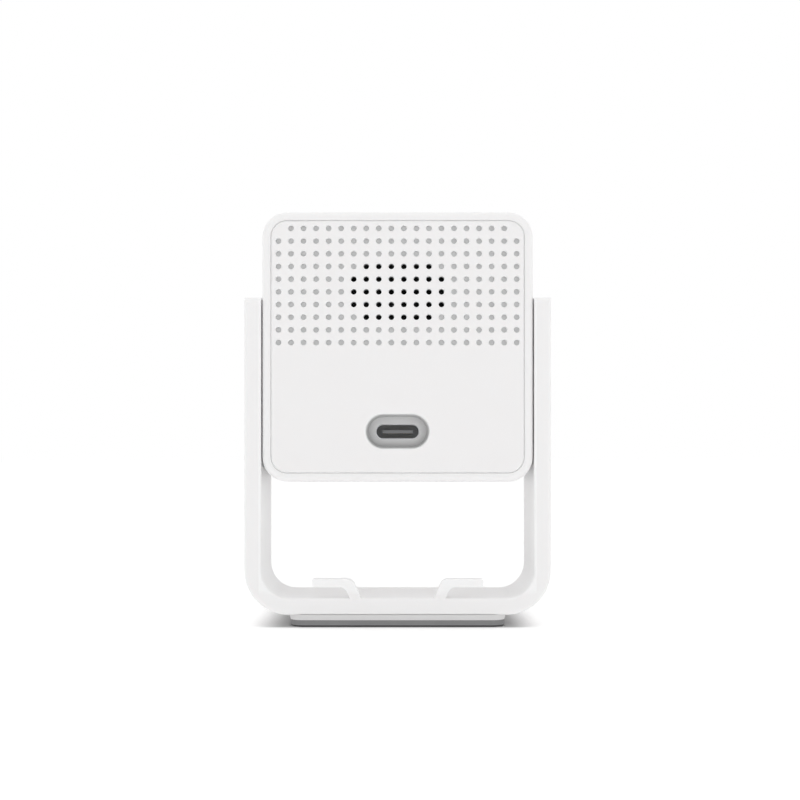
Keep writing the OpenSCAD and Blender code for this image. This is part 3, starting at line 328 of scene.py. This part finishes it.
WIRE_PITCH = 0.3 * MM
enamel_wire, coil, out = new_finish("enamelled_copper_winding")
place = add(coil, "TexCoord").outputs["Object"]
turns = add(
    coil,
    "TexWave",
    {"Vector": place, "Scale": math.tau / 20 / WIRE_PITCH, "Distortion": 0.2},
    bands_direction="X",
)
tone = add(
    coil, "Mix", {0: turns.outputs[1], 6: linear("#8A4A22"), 7: linear("#D08447")}, data_type="RGBA"
)
ridge = add(coil, "Bump", {"Height": turns.outputs[1], "Distance": 0.08 * MM})
lacquer = add(
    coil,
    "BsdfPrincipled",
    {
        "Base Color": tone.outputs[2],
        "Metallic": 1.0,
        "Roughness": 0.3,
        "Coat Weight": 0.6,
        "Coat Roughness": 0.15,
        "Normal": ridge.outputs[0],
    },
)
coil.links.new(lacquer.outputs[0], out.inputs[0])
dress(enamel_wire, "ir_cut_coil", "speaker_wires")

# ---- Circuit boards ----
# Glass laminate with copper tracks under a smooth green solder mask: the main board, the
# sensor's board, the lamps' ring and the inlet's board. The tracks show as paler lines.

TRACK_PATCH = 3 * MM
TRACKS_IN_PATCH = 7
solder_mask, board, out = new_finish("green_solder_mask")
place = add(board, "TexCoord").outputs["Object"]
cells = add(
    board,
    "TexVoronoi",
    {"Vector": place, "Scale": 1 / TRACK_PATCH},
    distance="CHEBYCHEV",
    feature="F1",
)
tracks = add(
    board, "Math", {0: cells.outputs["Distance"], 1: 2 * TRACKS_IN_PATCH}, operation="MULTIPLY"
)
lines = add(board, "Math", {0: tracks.outputs[0], 1: 1.0}, operation="PINGPONG")
tone = add(
    board,
    "Mix",
    {0: lines.outputs[0], 6: linear("#0F4A2C"), 7: linear("#1C6B42")},
    data_type="RGBA",
)
relief = add(board, "Bump", {"Height": lines.outputs[0], "Distance": 0.02 * MM})
mask = add(
    board,
    "BsdfPrincipled",
    {"Base Color": tone.outputs[2], "Roughness": 0.34, "IOR": 1.5, "Normal": relief.outputs[0]},
)
board.links.new(mask.outputs[0], out.inputs[0])
dress(solder_mask, "sensor_board", "ir_led_board", "main_board", "usb_board")

# ---- Chips ----
# Packages moulded in black epoxy, dull and a little grainy, and the radio's can, stamped
# in rolled tin plate. All are soldered to the boards.

dress(
    moulded("black_epoxy_package", "#2B2C2F", "#232427", 0.6, 0.2 * MM, 0.004 * MM),
    "image_sensor",
    "processor",
    "memory_chips",
)
dress(
    plated("stamped_tin_plate", "#D2D3D4", "#BDBFC1", 0.34, 0.5 * MM, (1, 1, 6)), "wifi_shield"
)
dress(zinc_plate, "microphone", "button_switch")

# ---- Inner screws ----
# Small steel screws that hold the boards and the front tray, zinc plated as those of the
# plinth are.

dress(zinc_plate, "sensor_screws", "board_screws", "tray_screws")

# ---- Lamps ----
# Infra-red lamps, light sensor and status light in clear cast epoxy, faintly yellow, and
# a rod that carries the status light to the window.

EPOXY_HAZE = 0.8 * MM
clear_epoxy, epoxy, out = new_finish("clear_cast_epoxy")
place = add(epoxy, "TexCoord").outputs["Object"]
haze = add(epoxy, "TexNoise", {"Vector": place, "Scale": 1 / EPOXY_HAZE, "Detail": 2.0})
tint = add(
    epoxy, "Mix", {0: haze.outputs[0], 6: linear("#D9D8C6"), 7: linear("#ECEBDD")}, data_type="RGBA"
)
cast = add(
    epoxy,
    "BsdfPrincipled",
    {"Base Color": tint.outputs[2], "Roughness": 0.12, "IOR": 1.5, "Transmission Weight": 0.35},
)
epoxy.links.new(cast.outputs[0], out.inputs[0])
dress(clear_epoxy, "ir_leds", "light_sensor", "status_led", "light_pipe")

# ---- Front tray ----
# A black ABS tray behind the window, with openings for the lens and the lamps. Its skin
# is matt, so that it throws no light back into the lens.

dress(
    moulded("black_abs_tray", "#191A1C", "#141517", 0.5, SPARK_GRAIN, 0.004 * MM, IOR=1.54),
    "front_tray",
)

# ---- Light seals ----
# Soft black rubber round the lens and the microphone, moulded and pressed in. It is very
# dull and keeps stray light out.

soft_black = moulded(
    "soft_black_rubber", "#2A2A2B", "#212122", 0.8, RUBBER_GRAIN, 0.01 * MM, IOR=1.5
)
dress(soft_black, "light_baffle", "mic_boot")

# ---- Front window ----
# A flat pane of polished smoked acrylic, a mirror at a low angle. It is printed black
# inside, but for a disc over the lamps and a spot over the status light.

CLEAR_R = 15.6 * MM
SPOT_R = 1.1 * MM
PRINT_EDGE = 0.05 * MM
WIPE_MARK = 9 * MM
FLATTEN = (1, 0, 1)
window_low, window_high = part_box("front_window")
pipe_low, pipe_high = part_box("light_pipe")
lens_middle = (0, 0, (window_low[2] + window_high[2]) / 2)
pipe_middle = ((pipe_low[0] + pipe_high[0]) / 2, 0, (pipe_low[2] + pipe_high[2]) / 2)

smoked_acrylic, pane, out = new_finish("polished_smoked_acrylic")
place = add(pane, "TexCoord").outputs["Object"]
flat_place = add(pane, "VectorMath", {0: place, 1: FLATTEN}, operation="MULTIPLY").outputs[0]
over_lamps = add(pane, "VectorMath", {0: flat_place, 1: lens_middle}, operation="DISTANCE")
over_pipe = add(pane, "VectorMath", {0: flat_place, 1: pipe_middle}, operation="DISTANCE")
outside = add(
    pane,
    "MapRange",
    {"Value": over_lamps.outputs["Value"], "From Min": CLEAR_R, "From Max": CLEAR_R + PRINT_EDGE},
)
beyond = add(
    pane,
    "MapRange",
    {"Value": over_pipe.outputs["Value"], "From Min": SPOT_R, "From Max": SPOT_R + PRINT_EDGE},
)
printed = add(pane, "Math", {0: outside.outputs[0], 1: beyond.outputs[0]}, operation="MULTIPLY")
see_through = add(pane, "MapRange", {"Value": printed.outputs[0], "To Min": 1.0, "To Max": 0.0})
tone = add(
    pane,
    "Mix",
    {0: printed.outputs[0], 6: linear("#6E7177"), 7: linear("#0C0C0E")},
    data_type="RGBA",
)
wipe = add(pane, "TexNoise", {"Vector": place, "Scale": 1 / WIPE_MARK, "Detail": 4.0})
polish = add(pane, "MapRange", {"Value": wipe.outputs[0], "To Min": 0.01, "To Max": 0.06})
acrylic = add(
    pane,
    "BsdfPrincipled",
    {
        "Base Color": tone.outputs[2],
        "Roughness": polish.outputs[0],
        "IOR": 1.49,
        "Transmission Weight": see_through.outputs[0],
    },
)
pane.links.new(acrylic.outputs[0], out.inputs[0])
dress(smoked_acrylic, "front_window")

# ---- Heat spreader ----
# A ribbed plate of extruded aluminium, its grain drawn out along the ribs, on a soft
# blue-grey silicone pad over the processor.

dress(
    plated("extruded_aluminium", "#C9CBCD", "#B2B4B7", 0.38, 0.3 * MM, (1, 1, 0.08)),
    "heat_spreader",
)
dress(
    moulded("silicone_gap_pad", "#A9B5C0", "#9BA8B4", 0.7, 0.4 * MM, 0.01 * MM, IOR=1.41),
    "thermal_pad",
)

# ---- Flat cables ----
# Laminated cables from board to board, a glossy cream film with their copper strips
# showing through it.

STRIP_PITCH = 0.5 * MM
laminate, flat, out = new_finish("laminated_flat_cable")
place = add(flat, "TexCoord").outputs["Object"]
strips = add(
    flat, "TexWave", {"Vector": place, "Scale": math.tau / 20 / STRIP_PITCH}, bands_direction="X"
)
tone = add(
    flat,
    "Mix",
    {0: strips.outputs[1], 6: linear("#E6DFCB"), 7: linear("#B98A5C")},
    data_type="RGBA",
)
film = add(
    flat,
    "BsdfPrincipled",
    {"Base Color": tone.outputs[2], "Roughness": 0.3, "Coat Weight": 0.5, "Coat Roughness": 0.1},
)
flat.links.new(film.outputs[0], out.inputs[0])
dress(laminate, "sensor_cable", "led_cable")

# ---- Sockets ----
# Connectors on the boards and the setup switch's plunger, moulded in nylon: dull black,
# but cream for the link between the main board and the inlet's.

dress(black_nylon, "cable_sockets", "switch_plunger")
dress(moulded("cream_nylon", "#DAD5C0", "#D0CBB5", 0.5, 0.3 * MM, 0.003 * MM), "board_link")

# ---- Speaker ----
# A pressed paper cone, fibrous and dull, in a black nylon frame, with a nickel-plated
# magnet behind it and a soft black gasket against the rear cover.

dress(black_nylon, "speaker_frame")
dress(
    moulded("pressed_paper_cone", "#3B3C3F", "#313235", 0.85, 0.5 * MM, 0.03 * MM), "speaker_cone"
)
dress(plated("nickel_plated_magnet", "#C3C4C2", "#ACADAB", 0.25, 0.5 * MM), "speaker_magnet")
dress(soft_black, "speaker_gasket")

# ---- Grille cloth ----
# A woven black polyester cloth behind the speaker's holes, glued to the cover. It drinks
# the light, so that the holes look black.

# Its threads are 0.1 mm apart, drawn 0.3 mm apart so that they show.
THREAD_PITCH = 0.3 * MM
acoustic_cloth, cloth, out = new_finish("woven_acoustic_cloth")
place = add(cloth, "TexCoord").outputs["Object"]
warp, weft = (
    add(
        cloth,
        "TexWave",
        {"Vector": place, "Scale": math.tau / 20 / THREAD_PITCH},
        bands_direction=direction,
    )
    for direction in "XZ"
)
weave = add(cloth, "Math", {0: warp.outputs[1], 1: weft.outputs[1]}, operation="MULTIPLY")
tone = add(
    cloth,
    "Mix",
    {0: weave.outputs[0], 6: linear("#0A0A0B"), 7: linear("#1B1B1D")},
    data_type="RGBA",
)
threads = add(cloth, "Bump", {"Height": weave.outputs[0], "Distance": 0.06 * MM})
fibre = add(
    cloth,
    "BsdfPrincipled",
    {
        "Base Color": tone.outputs[2],
        "Roughness": 0.9,
        "Sheen Weight": 0.2,
        "Normal": threads.outputs[0],
    },
)
cloth.links.new(fibre.outputs[0], out.inputs[0])
dress(acoustic_cloth, "grille_mesh")

# ---- Cable inlet ----
# A stainless shell, deep drawn and bright, with a tongue of satin grey resin moulded in
# it. The tongue's root, seen past the rim of the shell, is painted paler: painted light on its
# shade.

TONGUE_T = 0.65 * MM
ROOT_LIGHT_START = 4 * MM
ROOT_LIGHT_END = 5 * MM
dress(
    plated("drawn_stainless_shell", "#D2D4D8", "#BDBFC4", 0.25, 0.3 * MM, (1, 0.2, 1)),
    "usb_shell",
)
tongue_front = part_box("usb_tongue")[0][1]
shell_low, shell_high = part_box("usb_shell")
inlet_z = (shell_low[2] + shell_high[2]) / 2
grey_resin = moulded(
    "grey_tongue_resin", "#858688", "#7C7D7F", 0.42, 0.3 * MM, 0.002 * MM, IOR=1.6
)
resin = grey_resin.node_tree
skin = resin.nodes["Principled BSDF"]
front_tone = skin.inputs["Base Color"].links[0].from_socket
place = add(resin, "SeparateXYZ", {0: add(resin, "TexCoord").outputs["Object"]})
# Painted light: the tongue is painted paler from 4 mm behind its front.
root_light = add(
    resin,
    "MapRange",
    {
        "Value": place.outputs["Y"],
        "From Min": tongue_front + ROOT_LIGHT_START,
        "From Max": tongue_front + ROOT_LIGHT_END,
    },
)
tone = add(
    resin, "Mix", {0: root_light.outputs[0], 6: front_tone, 7: linear("#D2D2D3")}, data_type="RGBA"
)
resin.links.new(tone.outputs[2], skin.inputs["Base Color"])
dress(grey_resin, "usb_tongue")

# ---- Inlet contacts ----
# Two rows of flat strips let into the faces of the tongue, stamped in copper alloy with
# softened edges. Gold plating keeps them bright and yellow.

CONTACTS_IN_ROW = 12
CONTACT_PITCH = 0.5 * MM
CONTACT_W = 0.26 * MM
CONTACT_L = 3.4 * MM
CONTACT_PROUD = 0.01 * MM
CONTACT_INSET = 0.5 * MM
CONTACT_EDGE = 0.004 * MM

contact_mesh = bmesh.new()
for side in (-1, 1):
    for number in range(CONTACTS_IN_ROW):
        strip = bmesh.ops.create_cube(contact_mesh, size=1.0)["verts"]
        bmesh.ops.scale(
            contact_mesh, vec=(CONTACT_W, CONTACT_L, 2 * CONTACT_PROUD), verts=strip
        )
        strip_place = (
            (number - (CONTACTS_IN_ROW - 1) / 2) * CONTACT_PITCH,
            tongue_front + CONTACT_INSET + CONTACT_L / 2,
            inlet_z + side * TONGUE_T / 2,
        )
        bmesh.ops.translate(contact_mesh, vec=strip_place, verts=strip)
bmesh.ops.bevel(
    contact_mesh, geom=contact_mesh.edges[:], offset=CONTACT_EDGE, segments=1, affect="EDGES"
)
contact_data = bpy.data.meshes.new("inlet_contacts")
contact_mesh.to_mesh(contact_data)
contact_mesh.free()
contacts = bpy.data.objects.new("inlet_contacts", contact_data)
bpy.context.scene.collection.objects.link(contacts)
contact_data.materials.append(
    plated("gold_plated_contact", "#E3C27A", "#CFAA5E", 0.3, 0.2 * MM)
)
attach(contacts, "head")

# ---- Setup button ----
# A small round button under the head, moulded in the shell's white ABS. It drops in from
# inside and bears on the switch's plunger.

dress(white_abs, "setup_button")

# ---- Rear cover ----
# A square panel with 198 small round dots, open over the speaker and blind elsewhere,
# and a pocket round the inlet. It is moulded in matt white ABS and clips into the shell.

HIGHLIGHT_TOP = 0.01 * MM
HIGHLIGHT_FOOT = 0.06 * MM
SHADE_TOP = 0.3 * MM
SHADE_FOOT = 0.9 * MM
POCKET_DEPTH = 3 * MM
POCKET_STRAIGHT = 2.8 * MM
POCKET_R = 2.9 * MM
SLOT_R = 1.7 * MM

white_panel = moulded(
    "white_abs_panel", "#F8F6F6", "#F6F4F4", 0.48, SPARK_GRAIN, WHITE_SKIN, IOR=1.54, **LIGHT_DEPTH
)
panel = white_panel.node_tree
skin = panel.nodes["Principled BSDF"]
face_tone = skin.inputs["Base Color"].links[0].from_socket
face_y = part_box("rear_cover")[0][1]
place = add(panel, "SeparateXYZ", {0: add(panel, "TexCoord").outputs["Object"]})

# Painted highlight: the rounded edges of the face, dots and pocket are painted whiter.
painted_highlight = add(
    panel,
    "MapRange",
    {
        "Value": place.outputs["Y"],
        "From Min": face_y + HIGHLIGHT_TOP,
        "From Max": face_y + HIGHLIGHT_FOOT,
    },
)
tone = add(
    panel, "Mix", {0: painted_highlight.outputs[0], 6: face_tone, 7: linear("#FFFFFF")}, data_type="RGBA"
)

# Painted shade: the walls of the dots and the pocket are painted greyer, deeper in.
deep = add(
    panel,
    "MapRange",
    {"Value": place.outputs["Y"], "From Min": face_y, "From Max": face_y + POCKET_DEPTH},
)
wall_shade = add(panel, "ValToRGB", {0: deep.outputs[0]})
shade_stops = wall_shade.color_ramp.elements
shade_stops[0].position, shade_stops[0].color = 0.3, linear("#D9D9D9")
shade_stops[1].position, shade_stops[1].color = 0.5, linear("#BEBEBE")

# Painted shade: the pocket's floor is painted darker towards its wall, most of all below the inlet.
across = add(panel, "Math", {0: place.outputs["X"]}, operation="ABSOLUTE")
past = add(panel, "Math", {0: across.outputs[0], 1: POCKET_STRAIGHT}, operation="SUBTRACT")
past = add(panel, "Math", {0: past.outputs[0], 1: 0.0}, operation="MAXIMUM")
upward = add(panel, "Math", {0: place.outputs["Z"], 1: inlet_z}, operation="SUBTRACT")
from_slot = add(panel, "CombineXYZ", {0: past.outputs[0], 1: upward.outputs[0]})
from_slot = add(panel, "VectorMath", {0: from_slot.outputs[0]}, operation="LENGTH")
outer = add(
    panel,
    "MapRange",
    {"Value": from_slot.outputs["Value"], "From Min": SLOT_R, "From Max": POCKET_R},
)
lower = add(
    panel, "MapRange", {"Value": upward.outputs[0], "From Min": POCKET_R, "From Max": -POCKET_R}
)
floor_shade = add(panel, "Math", {0: outer.outputs[0], 1: lower.outputs[0]}, operation="MULTIPLY")
pocket_floor = add(
    panel, "Mix", {0: floor_shade.outputs[0], 6: linear("#D8D8D8"), 7: linear("#B5B5B5")}, data_type="RGBA"
)
at_floor = add(
    panel, "MapRange", {"Value": deep.outputs[0], "From Min": 0.95, "From Max": 0.99}
)
pocket = add(
    panel,
    "Mix",
    {0: at_floor.outputs[0], 6: wall_shade.outputs[0], 7: pocket_floor.outputs[2]},
    data_type="RGBA",
)
# Painted shade: the greyer tone starts 0.3 mm below the face and is full from 0.9 mm.
painted_shade = add(
    panel,
    "MapRange",
    {
        "Value": place.outputs["Y"],
        "From Min": face_y + SHADE_TOP,
        "From Max": face_y + SHADE_FOOT,
    },
)
tone = add(
    panel, "Mix", {0: painted_shade.outputs[0], 6: tone.outputs[2], 7: pocket.outputs[2]}, data_type="RGBA"
)
panel.links.new(tone.outputs[2], skin.inputs["Base Color"])
dress(white_panel, "rear_cover")

# ---- Floor ----
# A wide matt white board that the object stands on. It glows a little, so that the
# camera sees plain white but for the soft shadow close round the base. That shadow is
# partly painted: close round the base the camera sees the board painted grey, without glow.

FLOOR_HALF = 12.0
TABLE_GLOW = 0.18
FLOOR_GLOW = 0.15
BASE_MIDDLE = (-0.3 * MM, -5.25 * MM, 0)
BASE_HALF = (21.5 * MM, 19.5 * MM, 0)
SHADOW_WIDTH = (8 * MM, 4 * MM, 1)

floor_mesh = bpy.data.meshes.new("floor")
floor_corners = [
    (x * FLOOR_HALF, y * FLOOR_HALF, 0) for x, y in ((-1, -1), (1, -1), (1, 1), (-1, 1))
]
floor_mesh.from_pydata(floor_corners, [], [(0, 1, 2, 3)])
floor = bpy.data.objects.new("floor", floor_mesh)
bpy.context.scene.collection.objects.link(floor)

white_floor, ground, out = new_finish("white_studio_floor")
place = add(ground, "TexCoord").outputs["Object"]
centred = add(ground, "VectorMath", {0: place, 1: BASE_MIDDLE}, operation="SUBTRACT")
inward = add(ground, "VectorMath", {0: centred.outputs[0]}, operation="ABSOLUTE")
apart = add(ground, "VectorMath", {0: inward.outputs[0], 1: BASE_HALF}, operation="SUBTRACT")
apart = add(ground, "VectorMath", {0: apart.outputs[0], 1: (0, 0, 0)}, operation="MAXIMUM")
apart = add(ground, "VectorMath", {0: apart.outputs[0], 1: SHADOW_WIDTH}, operation="DIVIDE")
apart = add(ground, "VectorMath", {0: apart.outputs[0]}, operation="LENGTH")
clear = add(
    ground, "MapRange", {"Value": apart.outputs["Value"]}, interpolation_type="SMOOTHSTEP"
)
path = add(ground, "LightPath")
camera_ray = path.outputs["Is Camera Ray"]
mirror = add(
    ground,
    "Math",
    {0: path.outputs["Is Glossy Ray"], 1: path.outputs["Is Transmission Ray"]},
    operation="MAXIMUM",
)
# Painted shadow: the board is painted grey close round the base for the camera.
painted_shadow = add(
    ground,
    "Mix",
    {0: clear.outputs[0], 6: linear("#C0C0C0"), 7: linear("#FFFFFF")},
    data_type="RGBA",
)
paint = add(
    ground, "Mix", {0: camera_ray, 6: linear("#F6F6F6"), 7: painted_shadow.outputs[2]}, data_type="RGBA"
)
paint = add(
    ground,
    "Mix",
    {0: mirror.outputs[0], 6: paint.outputs[2], 7: linear("#000000")},
    data_type="RGBA",
)
matt = add(ground, "BsdfDiffuse", {"Color": paint.outputs[2]})
glow = add(ground, "Math", {0: clear.outputs[0], 1: FLOOR_GLOW}, operation="MULTIPLY")
glow = add(
    ground, "MapRange", {"Value": camera_ray, "To Min": TABLE_GLOW, "To Max": glow.outputs[0]}
)
glow = add(
    ground, "MapRange", {"Value": mirror.outputs[0], "To Min": glow.outputs[0], "To Max": 1.0}
)
shine = add(ground, "Emission", {"Strength": glow.outputs[0]})
both = add(ground, "AddShader", {0: matt.outputs[0], 1: shine.outputs[0]})
ground.links.new(both.outputs[0], out.inputs[0])
floor_mesh.materials.append(white_floor)

# ---- Sky ----
# White paper all round, lit a little more behind the object than behind the camera. The
# camera, metal and glass see it as plain white.

AMBIENT_NEAR = 0.745
AMBIENT_FAR = 0.98
sky = bpy.data.worlds.new("white_sky")
sky.use_nodes = True
bpy.context.scene.world = sky
air = sky.node_tree
air.nodes.clear()
path = add(air, "LightPath")
seen = add(
    air,
    "Math",
    {0: path.outputs["Is Camera Ray"], 1: path.outputs["Is Glossy Ray"]},
    operation="MAXIMUM",
)
seen = add(
    air, "Math", {0: seen.outputs[0], 1: path.outputs["Is Transmission Ray"]}, operation="MAXIMUM"
)
way = add(air, "SeparateXYZ", {0: add(air, "TexCoord").outputs["Generated"]})
ambient = add(
    air,
    "MapRange",
    {"Value": way.outputs["Y"], "From Min": -1.0, "To Min": AMBIENT_NEAR, "To Max": AMBIENT_FAR},
)
level = add(
    air, "MapRange", {"Value": seen.outputs[0], "To Min": ambient.outputs[0], "To Max": 1.0}
)
paper = add(air, "Background", {"Color": (1, 1, 1, 1), "Strength": level.outputs[0]})
air.links.new(paper.outputs[0], add(air, "OutputWorld").inputs[0])

# ---- Lamps of the studio ----
# A large soft lamp above and a weak one behind the camera, both plain white squares that
# the camera doesn't see.


def soft_lamp(name, place, aim, width, watts):
    """A large square lamp at a place, turned to a point."""
    lamp = bpy.data.lights.new(name, "AREA")
    lamp.shape = "SQUARE"
    lamp.size = width
    lamp.energy = watts
    holder = bpy.data.objects.new(name, lamp)
    holder.location = place
    holder.rotation_euler = (Vector(aim) - Vector(place)).to_track_quat("-Z", "Y").to_euler()
    holder.visible_camera = False
    bpy.context.scene.collection.objects.link(holder)


soft_lamp("top_lamp", (0, -0.15, 0.9), (0, 0, 0.03), 0.6, 0.8)
soft_lamp("fill_lamp", (0, -1.2, 0.45), (0, 0, 0.04), 0.8, 0.3)

# ---- Camera ----
# It stands level behind the object, a little above its foot, and sees it straight on.
# The shift puts the object where the photograph has it.

camera_data = bpy.data.cameras.new("camera")
camera_data.lens = 59.8
camera_data.sensor_width = 36
camera_data.shift_x = 0.003
camera_data.shift_y = 0.07
camera = bpy.data.objects.new("camera", camera_data)
camera.location = (0, -0.2855, 0.0334)
camera.rotation_euler = (math.radians(90), 0, 0)
bpy.context.scene.collection.objects.link(camera)
bpy.context.scene.camera = camera
bpy.context.scene.view_settings.view_transform = "Standard"
